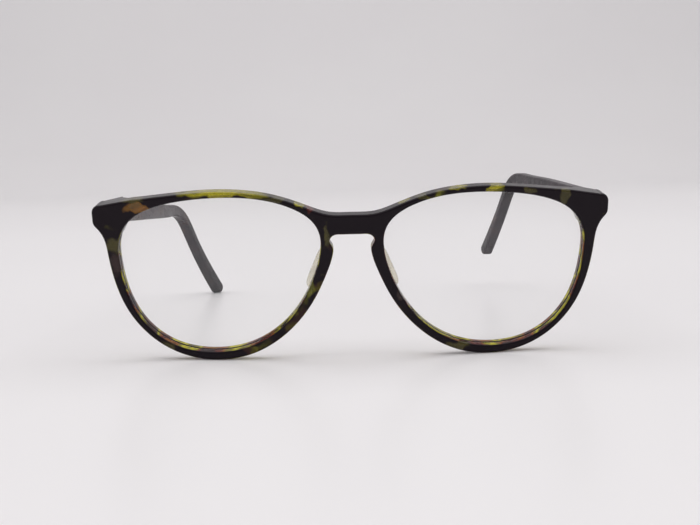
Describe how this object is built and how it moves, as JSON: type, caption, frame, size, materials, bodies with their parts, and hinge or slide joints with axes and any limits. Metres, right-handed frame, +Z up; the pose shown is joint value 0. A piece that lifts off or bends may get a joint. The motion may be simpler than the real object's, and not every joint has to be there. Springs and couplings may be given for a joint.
{
  "type": "eyeglasses",
  "caption": "Full-rim acetate eyeglasses: curved front with keyhole bridge, clear lenses, bonded nose pads and folding temples with dropped ear tips.",
  "frame": {"origin": "middle of the bounding box in X and Y, at the level of the table the open glasses stand on", "axes": "+X is lateral, toward the wearer's left; the front faces -Y and the temples run back to +Y; +Z is up"},
  "size_m": [0.1374, 0.145, 0.0464],
  "materials": {
    "front_acetate": "polished tortoiseshell acetate, near-black brown with lime and amber patches",
    "temple_acetate": "polished dark brown acetate",
    "pad_acetate": "polished tortoiseshell acetate",
    "lens": "clear, anti-reflection coated",
    "hinge_metal": "nickel silver, satin",
    "screw_steel": "turned steel",
    "core_wire": "drawn nickel silver strip"
  },
  "bodies": {
    "front": {"front_frame": "front_acetate", "lens_left": "lens", "lens_right": "lens", "nose_pad_left": "pad_acetate", "nose_pad_right": "pad_acetate", "front_hinge_leaf_left": "hinge_metal", "front_hinge_leaf_right": "hinge_metal", "hinge_screw_left": "screw_steel", "hinge_screw_right": "screw_steel"},
    "left_temple": {"temple_left": "temple_acetate", "temple_hinge_leaf_left": "hinge_metal", "temple_core_wire_left": "core_wire"},
    "right_temple": {"temple_right": "temple_acetate", "temple_hinge_leaf_right": "hinge_metal", "temple_core_wire_right": "core_wire"}
  },
  "joints": [
    {"name": "left_fold", "type": "hinge", "parent": "front", "child": "left_temple", "pos_m": [0.063, -0.05746, 0.04019], "axis": [0, -0.0479, 0.9989], "range_deg": [0, 86]},
    {"name": "right_fold", "type": "hinge", "parent": "front", "child": "right_temple", "pos_m": [-0.063, -0.05746, 0.04019], "axis": [0, -0.0515, -0.9987], "range_deg": [0, 72]}
  ]
}
